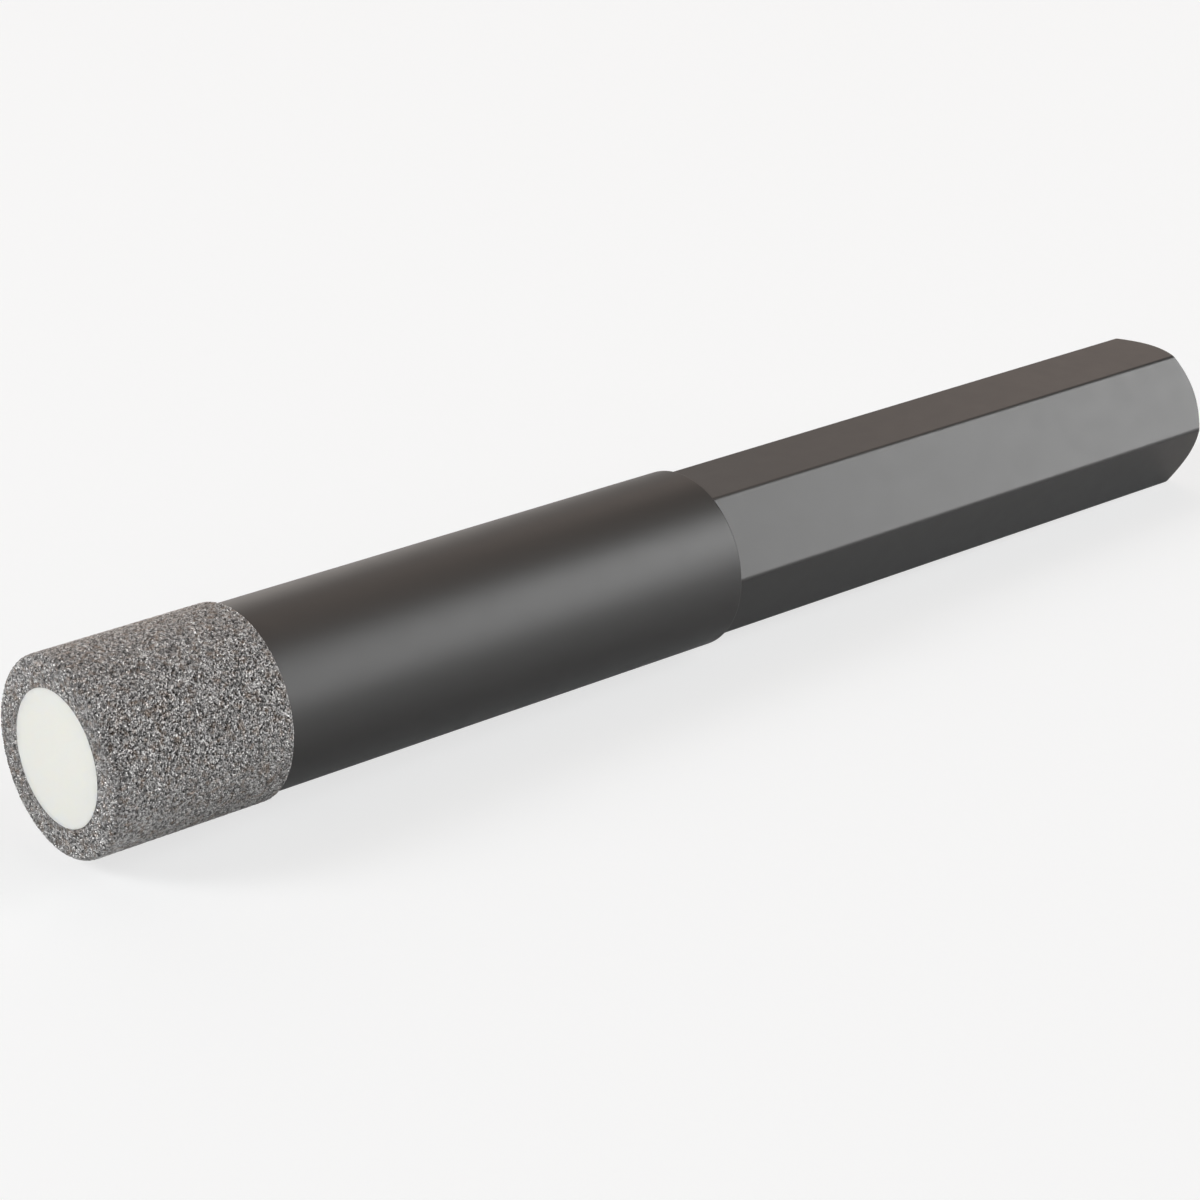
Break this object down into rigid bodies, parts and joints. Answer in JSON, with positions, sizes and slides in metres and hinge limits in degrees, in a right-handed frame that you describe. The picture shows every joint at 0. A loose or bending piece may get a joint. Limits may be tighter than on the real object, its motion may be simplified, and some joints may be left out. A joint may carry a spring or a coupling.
{
  "type": "diamond hole saw",
  "caption": "Slim diamond hole saw for dry drilling in tile: gritty round cutting crown, black steel tube filled with white wax, hexagonal drill shank.",
  "frame": {"origin": "centre of the hexagonal shank's end face, on the tool's axis", "axes": "+X along the tool's axis from the shank's end to the cutting crown, +Z square to one flat of the hexagon, so that the tool lies on the opposite flat's side"},
  "size_m": [0.1067, 0.014, 0.014],
  "materials": {
    "black_steel": "satin black coating on steel",
    "diamond_grit": "rough diamond grit held in nickel braze",
    "wax": "poured wax, smooth"
  },
  "bodies": {
    "root": {"hex_shank": "black_steel", "core_tube": "black_steel", "diamond_crown": "diamond_grit", "wax_core": "wax"}
  },
  "joints": []
}
